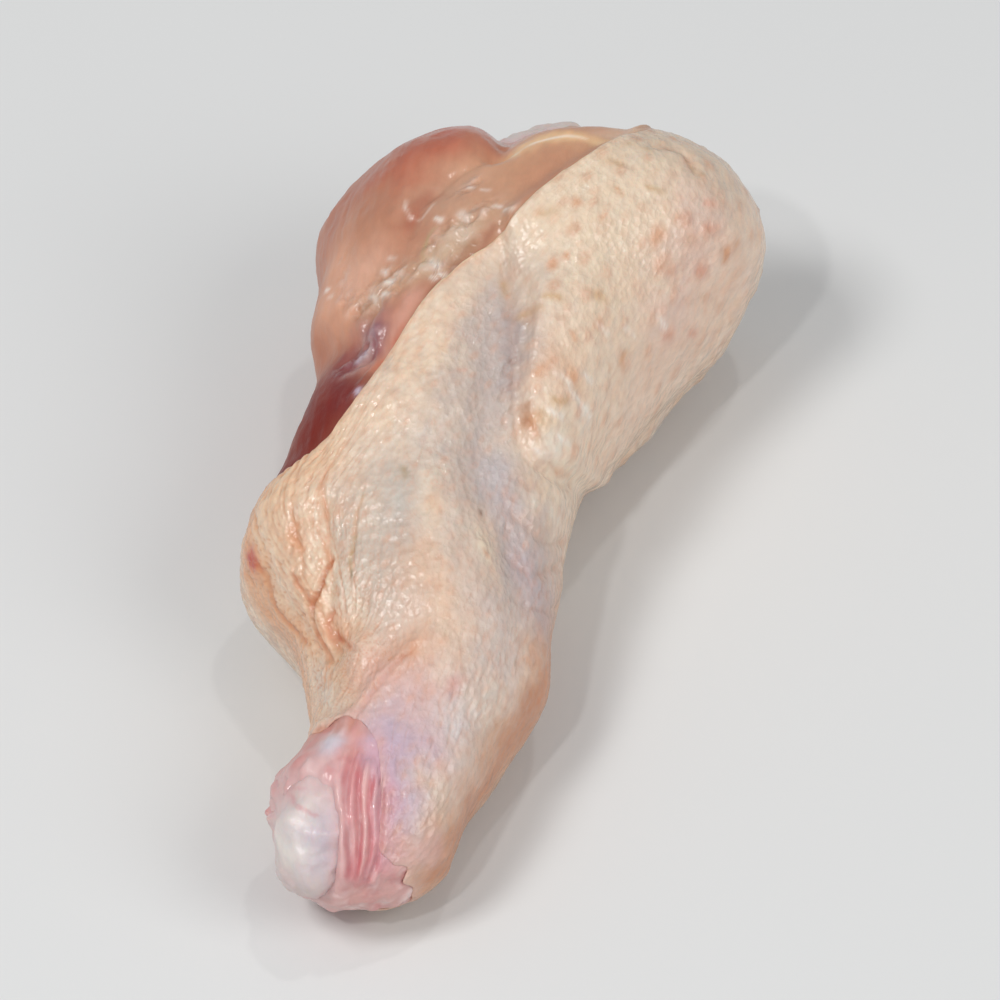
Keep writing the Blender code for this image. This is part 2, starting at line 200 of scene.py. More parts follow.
# Puckered membrane, as the folds; its wrinkles run along one heading.
MEMBRANES = (
    (2.3, 0.4, MEMBRANE_BAND), (1.2, 0.25, (61, 50, 57, 48, 53.5, 42)),
    (1.8, 0.35, (49.4, 32, 47.8, 36, 46.8, 40)), (1.2, 0.3, (43.4, 26, 42, 30)),
    (0.9, 0.25, (68, 8, 66, 10)), (3.5, 0.2, (88, 20, 86, -30, 84, -70, 85, -120)),
)
MEMBRANE_HEADING = np.array([-0.66, 0.74, -0.14])
# The white flecks are partly the membrane's white tissue and partly painted glints.
FLECKS = (0.85, 0.2, 14)  # spacing, radius and seed of the white flecks on the membranes

# Follicles: spacing, radius and seed, drawn out along one heading.
SPOTS = (2.2, 0.42, 11)
PORES = (1.1, 0.26, 12)
SPOT_HEADING = np.array([0.8, -0.5, 0.33])
SPOT_STRETCH = 0.42
SPOT_HEIGHT = 0.18
PORE_HEIGHT = 0.05
OFF_PAD = 0.2  # how strong the spots are off the pad

WRINKLE_DEPTH = 0.1
SHANK_END = 40  # where the long wrinkles of the shank end
# The bulge, half width and path: its wrinkles run together at the fan's centre.
BULGE = (9, (37, 50, 30, 52, 22, 54, 15, 50))
FAN_CENTRE = (4, 48)
FAN_SPACING = 9
FAN_HUB = 3  # distance from the centre within which they close up no more
FAN_LENGTH = 7
FAN_DEPTH = 0.14

NOTCHES = ((0.2, 4.0), (0.1, 1.6))  # depth and length of the notches in the skin's edges

# Spots that show one by one, and painted highlights (colour 4): along, round, radius and number of
# the colour.
PAD_SPOTS_AND_GLINTS = (
    (67.9, -33, 0.45, 0), (64.9, -25, 0.6, 1), (63.1, -19, 0.55, 3), (68.7, -50, 0.6, 1),
    (66.1, -50, 0.85, 1), (67.7, -59, 0.9, 0), (70.4, -60, 0.7, 2), (69.9, -70, 0.65, 0),
    (64.4, -58, 0.95, 2), (66.9, -69, 0.8, 2), (58.1, -27, 0.6, 1), (64.7, -33, 0.4, 1),
    (57.1, -46, 0.6, 3), (52.8, -27, 0.6, 3), (54.5, -32, 0.5, 3), (54.8, -50, 0.7, 1),
    (51.9, -44, 0.5, 0), (54.8, -67, 0.7, 0), (47, -39, 0.8, 1), (48.8, -50, 0.8, 1),
    (45.4, -50, 0.6, 3), (60.6, -77, 0.8, 2), (63.6, -85, 0.7, 2), (71.4, -71, 0.6, 1),
    (69.9, -40, 0.4, 3), (71.9, -54, 0.6, 2), (59.6, -30, 0.4, 1), (74, -29, 0.5, 3),
    (70.7, -26, 0.5, 3), (46.7, -2, 0.3, 0), (45, -11, 0.3, 2), (60.6, -70, 0.35, 4),
    (54.8, -52, 0.3, 4), (47.5, -47, 0.4, 4), (47, -54, 0.45, 4), (47.2, -63, 0.5, 4),
    (44, -51, 0.4, 4), (39.9, -53, 0.4, 4), (42.7, -60, 0.45, 4), (49.8, -56, 0.35, 4),
    (57, -62, 0.3, 4),
)
# The last colour, near white, is for the painted highlights.
PAD_SPOT_AND_GLINT_COLOURS = (
    (206, 142, 92), (222, 160, 118), (216, 152, 126), (206, 166, 118), (254, 244, 232),
)
# Painted highlights: bright glints of the wet membrane, in the same way.
PAINTED_GLINTS = (
    (62.9, 6, 0.6, 0), (62.4, 14, 0.4, 0), (57.3, 11, 0.55, 0), (55.6, 10, 0.35, 0),
    (56.1, 7, 0.35, 0), (55.6, 27, 0.5, 0), (56.3, 24, 0.35, 0), (57.3, 30, 0.4, 0),
    (58.6, 28, 0.35, 0), (54.3, 34, 0.6, 0), (54, 28, 0.4, 0), (47.7, 38, 0.6, 1),
    (48.2, 35, 0.4, 1), (42.3, 27, 0.4, 1), (58.8, 59, 0.4, 0), (57.3, 56, 0.35, 0),
    (64.1, -3, 0.3, 0), (63.4, -7, 0.3, 0), (66.9, 8, 0.25, 0), (66.4, 3, 0.25, 0),
)
PAINTED_GLINT_COLOURS = ((252, 246, 236), (228, 224, 244))

# --- Colours ---

# Mottles are patches of (colour, strength, size, seed) over a piece's own colour. Strokes
# (half width, colour, strength, path) go over those, each over the ones before.
PATH_STEPS = 6  # points of a line for each place on its path
STROKE_SPREAD = 1.054  # a stroke's reach, in half widths
WANDERS = ((4.0, 1.6, 0), (1.3, 0.4, 5))  # size and shift of the strokes' outlines, first seed

KNUCKLE_STROKES = (
    (1.4, (200, 178, 196), 0.85, (4.8, 4, 2.8, -2, 1, -10)),
    (0.9, (222, 150, 132), 0.7, (5.2, 16, 3.6, 14, 2, 15)),
    (1.6, (202, 108, 114), 0.75, (0.8, 10, -1.6, 5, -4, -4, -7, -14)),
    (1.4, (210, 140, 148), 0.65, (-0.6, -14, -4, -24, -7, -34)),
    (1.6, (224, 178, 172), 0.6, (-4.6, -34, -5.4, -44, -4.8, -58, -3.4, -72)),
    (1.2, (214, 162, 172), 0.65, (4, 2, 2.5, -4, -1.5, -14, -4.6, -23, -6, -34)),
    (0.44, (238, 194, 190), 0.8, (1.4, 16, -0.5, 15, -3.4, 12, -8.5, 4)),
    (0.3, (234, 176, 174), 0.8, (1.4, 8, -0.4, 7, -3.4, 2, -8.5, -6)),
    (0.4, (240, 196, 190), 0.8, (0.8, 0, -1.2, -1, -3.8, -7, -8.5, -18)),
    (0.26, (230, 184, 186), 0.6, (0, -9, -2, -10, -4.4, -17, -8.5, -30)),
    (0.3, (188, 66, 80), 0.85, (0.8, 12, -0.4, 11, -3.4, 7, -8.5, -1)),
    (0.3, (194, 78, 90), 0.8, (0.6, 4, -0.8, 3, -3.6, -2, -8.5, -12)),
    (0.3, (206, 116, 120), 0.7, (0, -5, -1.7, -6, -4.1, -12, -8.5, -24)),
    (1.3, (214, 207, 216), 0.9, (4.4, 26, 3.4, 26)),
    (1, (226, 200, 198), 0.6, (1.2, 28, 0.6, 31)),
    (1.5, (206, 134, 130), 0.75, (3.4, 48, 1.4, 56, 0, 64)),
)

SKIN_COLOUR = (230, 200, 170)
SKIN_MOTTLES = (
    ((226, 180, 148), 0.5, 7, 61), ((202, 192, 184), 0.5, 6, 71), ((250, 234, 212), 0.7, 2.6, 75),
    ((216, 164, 130), 0.5, 1.5, 77), ((192, 178, 172), 0.6, (7, 1.1, 1.1), 79),
    ((252, 238, 216), 0.7, (6, 0.9, 0.9), 83), ((252, 240, 224), 0.6, 0.8, 85),
    ((206, 172, 148), 0.5, 0.9, 87),
)
SKIN_STROKES = (
    (11, (238, 216, 188), 0.75, (72, -30, 60, -42, 52, -56)),
    (5, (230, 184, 154), 0.4, (68, -84, 60, -82)),
    (7, (238, 206, 184), 0.6, (72, -66, 64, -78, 54, -86)),
    (3.4, (208, 190, 168), 0.55, (77, -30, 77, -44, 74, -56)),
    (3, (224, 188, 180), 0.4, (70, -56, 66, -62, 62, -68)),
    (5, (246, 218, 192), 0.65, (50, -44, 46, -52, 43, -64)),
    (2.4, (238, 220, 196), 0.6, (43.5, -60, 41, -64, 42, -76)),
    (2.2, (226, 178, 140), 0.5, (49, -40, 48.4, -52)),
    (4.2, (188, 173, 168), 0.85, (55, -11, 50, -17, 44, -23, 38, -28, 33, -38, 30, -56)),
    # Painted shade under the pad's overhanging lip.
    (1.2, (160, 150, 152), 0.7, (52, -22, 48, -29, 45, -33)),
    (4.5, (190, 174, 172), 0.65, (30, -50, 26, -66, 28, -84)),
    (6, (208, 192, 180), 0.7, (34, -8, 27, -10, 20, -14)),
    (4, (200, 184, 180), 0.45, (25, -38, 19, -40, 13, -36)),
    (2.8, (194, 186, 176), 0.65, (31, -2, 28, 0, 24, 3)),
    (2.6, (194, 178, 168), 0.65, (24, 8, 19, 9)),
    (1.9, (188, 180, 184), 0.6, (36, -38, 33, -42)),
    (2, (228, 200, 176), 0.7, (30, -34, 27, -37, 24.6, -36)),
    (2.4, (188, 178, 186), 0.6, (29, -62, 25.8, -78)),
    (1.3, (236, 214, 188), 0.45, (33, -13, 28, -15, 23, -11, 17, -17)),
    (2.5, (240, 212, 184), 0.6, (58, -4, 48, 6, 41, 14, 35, 24)),
    (6, (238, 208, 176), 0.75, (36, 50, 29, 56, 22, 56, 16, 48)),
    (3, (238, 196, 156), 0.5, (38, 40, 33, 46, 30, 60)),
    (1.4, (220, 212, 198), 0.6, (21.4, 32, 19.6, 38)),
    (2, (218, 210, 200), 0.6, (14.4, 56, 11, 46, 8.5, 38)),
    (2, (206, 192, 178), 0.7, (30, 17, 26, 18, 22, 18, 17, 16)),
    (1.2, (230, 190, 154), 0.5, (29.8, -16, 29.5, -15.5)),
    (1.3, (244, 228, 200), 0.75, (27.4, -33, 26.8, -34)),
    (0.35, (206, 134, 92), 0.8, (26.6, -35.5, 26.5, -34.5)),
    (0.24, (214, 146, 104), 0.7, (33.6, 27, 28.6, 26, 23.3, 35)),
    (0.7, (224, 160, 118), 0.6, (29.4, 20, 28.8, 21)),
    (1, (224, 162, 120), 0.6, (27.6, 41, 25.8, 43)),
    (0.8, (248, 228, 204), 0.6, (29, 56, 25.6, 58, 23, 62)),
    (0.7, (248, 228, 204), 0.55, (26.6, 36, 23.8, 42)),
    (0.9, (222, 164, 124), 0.6, (22.6, 50, 20.8, 52, 19, 56, 17, 53, 15, 48)),
    (0.26, (178, 98, 56), 1, LONG_CREASE),
    (0.3, (214, 132, 88), 0.95, (24.2, 52, 22.5, 52, 20.8, 52)),
    (1.1, (224, 162, 116), 0.75, (27.3, 68, 23.5, 75, 19, 68)),
    (0.3, (200, 122, 78), 0.8, LEFT_CREASE),
    (0.22, (216, 150, 108), 0.5, (31, 58, 26.5, 58, 22.5, 60, 20, 60)),
    (0.2, (212, 146, 106), 0.7, (28.1, 31, 25.8, 32, 24, 34)),
    (0.2, (218, 156, 116), 0.5, (34, 38, 30, 38, 26, 42, 23, 48)),
    (0.5, (226, 164, 122), 0.6, (27.4, 43, 26.2, 42)),
    (0.26, (210, 168, 134), 0.7, (30.3, 10, 27.1, 16, 26, 18)),
    (0.24, (172, 150, 98), 0.85, (26, 18, 22.8, 26)),
    (0.22, (122, 96, 54), 0.8, (22.6, 26, 22.3, 26.3)),
    (0.2, (204, 184, 164), 0.5, (19.4, 26, 15.6, 25)),
    (1.5, (230, 172, 134), 0.7, (18.8, 46, 17.4, 43, 16, 36)),
    (0.26, (204, 122, 84), 0.8, LOW_CREASE),
    (0.28, (190, 92, 56), 0.95, LOWEST_CREASE),
    (1.6, (214, 168, 132), 0.7, (15, 46, 13, 34, 11.4, 23)),
    (2, (230, 166, 118), 0.75, (34, 62, 30, 70, 25, 86, 20, 88, 14, 84, 8, 76)),
    (5, (232, 196, 176), 0.5, (14, 4, 8, -10, 4, -60)),
    (1.7, (230, 176, 134), 0.65, (15, -6, 13, 5, 10, 15, 7.6, 21)),
    (0.26, (196, 120, 76), 0.9, SHANK_FOLD),
    (2.2, (216, 192, 162), 0.5, (13, 36, 9.4, 32, 8, 30)),
    (3, (228, 188, 158), 0.5, (23, -8, 19, -14)),
    (0.5, (222, 150, 96), 0.7, (15, -4, 14.4, -5)),
    (3.2, (224, 184, 178), 0.6, (11, 8, 9, -12, 8, -30)),
    (0.9, (244, 232, 212), 0.75, (12.7, -21, 12.2, -22)),
    (0.8, (200, 128, 130), 0.7, (12.4, -30, 10.6, -34)),
    (2.4, (232, 220, 206), 0.6, (11.6, -50, 9, -48, 6.4, -46)),
    (4, (190, 170, 192), 0.9, (4.6, -7, 1.4, -17, -1.6, -30)),
    (2, (218, 208, 206), 0.65, (9.4, -34, 8, -46)),
    (3, (212, 172, 164), 0.45, (13, -4, 11, -14)),
    (2, (226, 206, 184), 0.7, (1, -44, -1, -56, -3, -70)),
    (1.4, (220, 214, 214), 0.6, (7.4, -42, 7, -46)),
    # Painted warm shade on the lower right side, where the skin turns under (this and the next two
    # strokes).
    (6.5, (208, 158, 124), 0.7, (30, -128, 14, -126, 0, -128)),
    (4.5, (212, 168, 138), 0.5, (36, -112, 28, -108)),
    (3.6, (192, 124, 84), 0.85, (24, -98, 12, -92, 4, -96, -3, -98)),
    (2.6, (234, 214, 204), 0.7, (20, -52, 16, -58)),
    (0.4, (158, 132, 92), 0.85, (33.1, -3, 32.3, -4.5)),
    (0.26, (84, 58, 48), 0.95, (31, -34, 31.1, -34)),
    (1, (188, 20, 16), 0.95, (28.7, 70, 28, 70)),
    (0.3, (196, 130, 84), 0.8, (43.6, -40, 42.2, -43, 41, -48)),
    (0.3, (204, 146, 104), 0.6, (40.2, -51, 40.2, -62, 41.6, -74)),
    (0.8, (224, 180, 126), 0.6, (42.9, -46, 42.6, -51)),
    (0.22, (150, 100, 64), 0.7, (43.4, -40, 42.2, -43)),
    # Painted highlights on the pad (this and the next stroke).
    (1.1, (250, 236, 220), 0.6, (47, -60, 46.2, -64)),
    (1, (250, 238, 222), 0.6, (42, -54, 41, -56)),
    (0.5, (198, 158, 108), 0.6, (56.2, -15, 55.2, -17)),
    (0.5, (206, 152, 112), 0.6, (53, -26, 52, -28)),
    (0.3, (178, 150, 112), 0.7, (76, -36, 75.4, -40, 74.5, -47)),
)
FAT_COLOUR = (240, 216, 180)
# Colour and strength of creases, pores, spots and the knuckle and shoulder edge.
# The creases' orange-brown is partly the skin's colour and partly painted shade, stronger in
# deeper creases.
SKIN_MARKS_AND_CREASE_SHADE = (
    ((210, 140, 98), 0.7), ((224, 160, 122), 0.5), ((206, 134, 92), 0.7),
    ((222, 176, 166), 0.4), ((226, 160, 120), 0.8),
)

MEAT_COLOUR = (192, 130, 104)
MEAT_MOTTLES = (((168, 96, 76), 0.4, 6, 151),)
MEAT_STROKES = (
    (8, (176, 100, 78), 0.8, (80, 40, 73, 40, 69, 50)),
    (4, (188, 84, 58), 0.85, (78, 24, 73, 22, 70, 30, 68, 38)),
    (5.5, (188, 132, 104), 0.85, (65, 44, 62, 38, 60, 46)),
    (6, (202, 150, 118), 0.95, (75, -8, 70, -2, 67, 8)),
    # Painted light: lighter brown where the lobe turns away from the lights by the notch.
    (2.2, (222, 168, 132), 0.8, (75, 1, 72, 5, 69.5, 9)),
    (3, (202, 158, 132), 0.7, (64.6, 12, 66, 17, 67.6, 12)),
    (4, (230, 170, 138), 0.85, (61, 56, 56.6, 52, 51.5, 42)),
    (2.5, (224, 176, 152), 0.8, (58.6, 38, 57, 44)),
    # Painted shade in the groove between the lobes.
    (1, (160, 78, 56), 0.5, (66.4, 20, 64.6, 23, 62.6, 25)),
    (2.4, (200, 158, 128), 0.9, MEMBRANE_BAND),
    (1.5, (208, 186, 160), 0.55, (61, 4, 58.6, 8, 57, 14)),
    (0.2, (182, 164, 118), 0.7, (61.4, 14, 60.6, 16, 58.1, 16, 57, 15)),
    (0.2, (250, 232, 220), 0.75, (65.6, 27, 64.6, 26.5, 63.2, 24.5)),
    (0.2, (240, 214, 196), 0.6, (63.1, 22, 63.2, 20, 64.9, 18)),
    # Dark purple low on the muscle, partly its own colour and partly painted shade (this and the
    # next stroke).
    (2, (142, 88, 104), 0.95, VIOLET_BAND),
    (2.4, (126, 58, 60), 0.95, (43.6, 38, 41, 32, 42, 40)),
    (1, (216, 160, 140), 0.85, (53, 15, 50.4, 19, 48, 22.5, 45.6, 26)),
    (0.5, (214, 120, 92), 0.7, (49.4, 18, 48.4, 20)),
    (0.5, (226, 140, 108), 0.8, (46.6, 24, 45.2, 25.5)),
    # Painted shadow along the skin's cut edge.
    (0.4, (150, 96, 60), 0.7, (60, 0, 58.4, 3, 56.6, 5)),
    # Painted shade: the muscle's tail darkened as if in deep shade.
    (6, (120, 30, 22), 0.95, (44, 56, 40, 48, 38, 46, 36, 60, 38, 76)),
    # Painted shadow line on the meat under the skin's cut edge.
    (0.4, (150, 84, 56), 0.8, (62, -4, 59.3, -2, 56.3, 5, 51, 12, 46, 20, 41, 26)),
    (2.2, (226, 196, 170), 0.75, (84, -27, 81, -23, 78, -20)),
    # A cream rim of membrane, with a thin painted highlight along it on the next line.
    (1.1, (246, 206, 158), 0.8, (75, -20, 75, -12, 74.4, -3, 73, 3)),
    (0.2, (252, 238, 222), 0.8, (75, -14, 74.6, -6, 73, 1, 71.6, 5)),
    (2, (216, 166, 140), 0.45, (91, 0, 84, 8, 79, -6)),
    (2.2, (220, 178, 154), 0.45, (90, 130, 85, 116, 78, 104)),
    (2, (226, 190, 166), 0.5, (91, -50, 86, -62, 82, -50)),
    (1.8, (218, 172, 148), 0.45, (91, 90, 85, 74, 80, 76)),
    (3, (240, 214, 172), 0.8, (86, -96, 85, -118, 87, -140)),
    (2.4, (150, 66, 58), 0.6, (88, 30, 84, 44, 86, 64)),
    (14, (216, 166, 160), 1, (-4, 0, -6, 60, -6, 120, -6, 180, -6, 240, -6, 300)),
    (1.2, (216, 172, 168), 0.8, (2.6, 34, 1.4, 42, 0.6, 50)),
    (0.26, (206, 132, 104), 0.85, (6.6, 20, 4.8, 18.5, 3, 17.5)),
    (1.6, (222, 154, 156), 0.6, (3, 13, 0, 14)),
    (2.2, (206, 132, 128), 0.6, (5.6, 60, 2.6, 62, 0, 66)),
)
# Colour and strength of the membrane's ridges, creases and flecks.
# Ridges lighter, partly the membrane's white and partly painted highlight; creases darker as
# painted shade.
MEMBRANE_TONES_AND_PAINTED_LIGHT = (((250, 236, 226), 0.3), ((178, 118, 94), 0.4), ((255, 250, 244), 0.5))
MUSCLE_STREAKS = (((222, 168, 140), 0.16, (12, 1, 1), 141),)
TISSUE_MOTTLES = (((238, 214, 210), 0.7, 1.5, 201), ((200, 120, 120), 0.7, 1.8, 205))

BONE_COLOUR = (214, 198, 194)
BONE_MOTTLES = (((226, 186, 180), 0.5, 4, 191), ((212, 206, 212), 0.3, 3, 195))
BONE_STROKES = (
    (2.2, (226, 192, 190), 0.5, (4.4, 30, 3.8, 44, 4, 60)),
    # Bluish cartilage, deepened as painted shade on the knob's lower right.
    (2, (196, 186, 202), 0.55, (-5, 30, -6, 22, -4, 16)),
    (1.6, (226, 216, 212), 0.6, (0, 36, -3, 34)),
    (1.8, (208, 146, 142), 0.6, (2.6, 30, 1.6, 48, 1.4, 62)),
    # Painted highlight on the knob's lit lower left.
    (1.4, (240, 232, 222), 0.7, (-3.2, 60, -5, 52)),
    (0.18, (204, 124, 128), 0.5, (0.2, 52, -1.6, 42, -2.6, 34, -3.2, 26)),
    (0.16, (208, 134, 138), 0.45, (-0.2, 46, -0.8, 36)),
    (1.5, (214, 112, 108), 0.8, (3.4, 72, 1.2, 80)),
    (8, (226, 208, 190), 0.7, (92, -60, 94.6, 0, 92, 120)),
)
# What touches: piece, what is near it, reach in millimetres, colour and strength.
CONTACTS = (
    ("meat_look", "bone_look", 0.9, (222, 186, 184), 0.65),
    ("bone_look", "meat_look", 0.9, (220, 178, 176), 0.65),
)
# Torn tissue on the knuckle's left: along, round, lift above the body and radius.
TORN_LUMPS = (
    (2.4, 72, 0.4, 1.3), (0.9, 82, 0.9, 0.9), (3.4, 80, 0.2, 1.1), (1.2, 68, 0.8, 0.7),
    (-0.4, 76, 1, 0.7), (2, 88, 0.8, 0.6),
)

# --- Meshes ---

SKIN_COLUMNS = 330
SKIN_RINGS = 250
CROWDING = 0.38  # how much closer together the columns are on top
SKIN_LIPS = (0.15, 0.45)  # radius of the skin's rounded edge at the knuckle and the shoulder
LIP_RINGS = 6
LINING_RINGS = 14
MEAT_COLUMNS = 300
BARE_RINGS = 210
KNUCKLE_RINGS = 40
COVERED_RINGS = 6
POLE_GAP = 0.8  # from the first and last ring to the body's ends
BONE_VOXEL = 0.32

# --- Materials, camera and light ---

# Stretch of the grain, mottling, roughness, strength of coarse and fine bump, scale of the
# cells, light inside, coat's weight and roughness, and specular level.
LOOKS = {
    "skin_look": ((0.8, 1, 1), 0.06, (0.38, 0.55), (0.3, 0.6), 1500, 0.12, (0.6, 0.08), 0.5),
    "meat_look": ((0.5, 1, 1), 0.06, (0.35, 0.5), (0.2, 0.2), 900, 0.15, (0.5, 0.05), 0.25),
    "bone_look": ((0.5, 1, 1), 0.04, (0.4, 0.55), (0.25, 0.15), 900, 0.35, (0.3, 0.2), 0.5),
}

CAMERA_PLACE = (-0.8442, -0.1865, 0.8595)
CAMERA_AIM = (0.6986, 0.1527, -0.6991)
CAMERA_RIGHT = (0.1864, -0.9795, -0.0752)
CAMERA_LENS = 454.5

# Lights: place in metres, side in metres, power in watts.
LIGHTS = (
    ((-0.3, 0.4, 0.85), 0.28, 3.7), ((-0.4, -0.8, 0.75), 0.6, 3.8),
    ((-0.55, 0.15, 0.8), 0.05, 1.1), ((0.25, -0.2, 0.95), 0.05, 0.6),
)

SKY_COLOUR = (0.93, 0.96, 1.0, 1)
SKY_STRENGTH = 0.34
FLOOR_COLOUR = (0.75, 0.75, 0.74, 1)


def smooth_through(knots, values, at):
    """Cubic curve through the values at the knots, its slopes taken from the neighbours."""
    slopes = np.gradient(values, knots)
    i = np.clip(np.searchsorted(knots, at) - 1, 0, len(knots) - 2)
    span = knots[i + 1] - knots[i]
    t = np.clip((at - knots[i]) / span, 0, 1)
    start = (2 * t**3 - 3 * t**2 + 1) * values[i] + (t**3 - 2 * t**2 + t) * span * slopes[i]
    end = (3 * t**2 - 2 * t**3) * values[i + 1] + (t**3 - t**2) * span * slopes[i + 1]
    return start + end


def smooth_round(pairs, degrees):
    """Value of a closed (round, along) edge at the given angles."""
    knots, values = np.array(pairs, float).T
    knots = np.concatenate([knots - 360, knots, knots + 360])
    return smooth_through(knots, np.tile(values, 3), degrees)


def smooth_step(t):
    t = np.clip(t, 0, 1)
    return t * t * (3 - 2 * t)


def fades(distance, reach, power=2):
    """1 at no distance, falling to 0 past the reach, more suddenly the higher the power."""
    return np.exp(-((distance / reach) ** power))


def body(along, degrees):
    """Points of the smooth body, before it is flattened underneath."""
    knuckle = np.clip(along / KNUCKLE_CAP, -np.pi / 2, 0)
    shoulder = np.clip((along - SHOULDER_CAP_START) / SHOULDER_CAP, 0, np.pi / 2)
    barrel = np.clip(along, 0, SHOULDER_CAP_START)
    x = barrel + KNUCKLE_CAP * np.sin(knuckle) + SHOULDER_CAP * np.sin(shoulder)
    shrink = np.cos(knuckle) * np.cos(shoulder)
    centre, half_width, top, underside = (
        smooth_through(SECTIONS[:, 0], SECTIONS[:, column], x) for column in (1, 2, 3, 4)
    )
    angle = np.radians(degrees)
    up, side = np.cos(angle), np.sin(angle)
    reach = (np.abs(up) ** SQUARENESS + np.abs(side) ** SQUARENESS) ** (-1 / SQUARENESS)
    y = centre + half_width * shrink * side * reach
    z = (top + underside) / 2 + (top - underside) / 2 * shrink * up * reach
    return np.stack(np.broadcast_arrays(x, y, z), axis=-1) - MIDDLE


def normals(along, degrees):
    step = 0.2
    inside = np.clip(along, ALONG_START + 2 * step, ALONG_END - 2 * step)
    lengthways = body(inside + step, degrees) - body(inside - step, degrees)
    crossways = body(inside, degrees + step) - body(inside, degrees - step)
    across = np.cross(lengthways, crossways)
    return across / np.linalg.norm(across, axis=-1, keepdims=True)


def raised(along, degrees, height, lowest):
    """Points at a height over the smooth body, but none lower than the lowest z."""
    points = body(along, degrees) + normals(along, degrees) * np.asarray(height)[..., None]
    points[..., 2] = np.maximum(points[..., 2], lowest)
    return points


def distance_to_path(points, path):
    """Distance of each point to a smooth line through (along, round) places on the body."""
    along, degrees = np.array(path, float).reshape(-1, 2).T
    knots = np.arange(len(along), dtype=float)
    at = np.linspace(0, len(along) - 1, PATH_STEPS * len(along))
    line = body(smooth_through(knots, along, at), smooth_through(knots, degrees, at))
    nearest = np.full(points.shape[:-1], np.inf)
    for start, end in zip(line[:-1], line[1:]):
        run = end - start
        t = np.clip(((points - start) @ run) / (run @ run + 1e-9), 0, 1)
        gap = np.linalg.norm(points - start - t[..., None] * run, axis=-1)
        nearest = np.minimum(nearest, gap)
    return nearest


def near_path(points, path, half_width, power=2):
    return fades(distance_to_path(points, path), half_width, power)


def fold_height(points, folds):
    height = np.zeros(points.shape[:-1])
    for half_width, rise, path in folds:
        height += rise * near_path(points, path, half_width)
    return height


def unevenness(points):
    draw = np.random.default_rng(SEED)
    height = np.zeros(points.shape[:-1])
    for _ in range(WAVES):
        heading = draw.normal(size=3)
        heading /= np.linalg.norm(heading)
        length = draw.uniform(*WAVE_LENGTHS)
        phase = draw.uniform(0, 2 * np.pi)
        height += WAVE_HEIGHT * np.sin(points @ heading * 2 * np.pi / length + phase)
    return height


def pad_share(along, degrees):
    """1 on the raised pad of thick skin, 0 off it."""
    return smooth_step((along - smooth_round(PAD_EDGE, degrees)) / PAD_RAMP + 0.5)


def ragged_edge(pairs, degrees, seed):
    """The edge as the part has it, with finer notches."""
    edge = smooth_round(pairs, degrees)
    for height, count, phase in EDGE_WAVES:
        edge = edge + height * np.sin(np.radians(degrees) * count + phase)
    line = body(edge, degrees)
    for number, (depth, length) in enumerate(NOTCHES):
        edge = edge + depth * noise(line, length, seed + number)
    return edge


def slant(edge, degrees):
    """How much longer a step along the body is than the same step square to its edge."""
    points = body(edge, degrees)
    round_step = np.linalg.norm(np.roll(points, -1, 0) - np.roll(points, 1, 0), axis=-1)
    along_step = np.roll(edge, -1) - np.roll(edge, 1)
    across = np.sqrt(np.maximum(round_step**2 - along_step**2, 0.2 * round_step**2))
    return np.sqrt(1 + (along_step / across) ** 2)


def skin_edges(degrees):
    """Knuckle and shoulder edge of the skin, each with its slant."""
    knuckle = ragged_edge(KNUCKLE_EDGE, degrees, 81)
    shoulder = ragged_edge(SHOULDER_EDGE, degrees, 91)
    return knuckle, slant(knuckle, degrees), shoulder, slant(shoulder, degrees)


def degrees_round(columns):
    """Angles of the columns, closest together on top, where most of the detail is."""
    turn = np.arange(columns) * 2 * np.pi / columns - np.pi
    return np.degrees(turn - CROWDING * np.sin(turn))


def noise(points, size, seed):
    """Smooth noise, about -1 to 1, whose lumps have the given size in millimetres."""
    gradients = np.random.default_rng(seed).normal(size=(*[NOISE_REPEAT] * 3, 3))
    place = points / np.array(size, float)
    corner = np.floor(place).astype(int)
    within = place - corner
    blend = within**3 * (within * (within * 6 - 15) + 10)
    total = np.zeros(points.shape[:-1])
    for offset in itertools.product((0, 1), repeat=3):
        i, j, k = np.moveaxis((corner + offset) % NOISE_REPEAT, -1, 0)
        weight = np.prod(np.where(offset, blend, 1 - blend), axis=-1)
        total += weight * np.einsum("...k,...k", gradients[i, j, k], within - offset)
    return total


def layered_noise(points, size, seed, layers=3):
    size = np.array(size, float)
    return sum(noise(points, size * 0.5**i, seed + i) * 0.5**i for i in range(layers))


def lumps(points, kinds):
    """Height of lumps of several kinds, as in the tables above."""
    return sum(rise * layered_noise(points, *kind) for rise, *kind in kinds)


def wrinkles(points, size, seed, sharpness=3.2):
    """Thin creases where the noise passes through zero, 0 to 1."""
    return np.clip(1 - np.abs(noise(points, size, seed)) * sharpness, 0, 1) ** 2


def fan_wrinkles(base, along, degrees):
    """Long wrinkles of the bulge, 0 to 1, which run together towards the knuckle."""
    centre_along, centre_round = FAN_CENTRE
    turn = (degrees - centre_round) / np.maximum(along - centre_along, FAN_HUB)
    place = np.stack([turn * FAN_SPACING, along / FAN_LENGTH, 0 * along], axis=-1)
    half_width, path = BULGE
    lines = np.maximum(wrinkles(place, 1.0, 45, 7), 0.5 * wrinkles(place, 0.6, 47, 5))
    return near_path(base, path, half_width, 4) * lines


def fine_wrinkles(base, along, pad):
    """Wrinkles in patches all over the skin and long ones down the shank, 0 to 1."""
    patches = smooth_step(1.6 * noise(base, 6.0, 43) + 0.3)
    shank = smooth_step((SHANK_END - along) / 12) * (1 - pad)
    lines = patches * wrinkles(base, (2.6, 1.3, 1.3), 41)
    return lines + 0.7 * shank * wrinkles(base, (6, 0.8, 0.8), 49, 4)


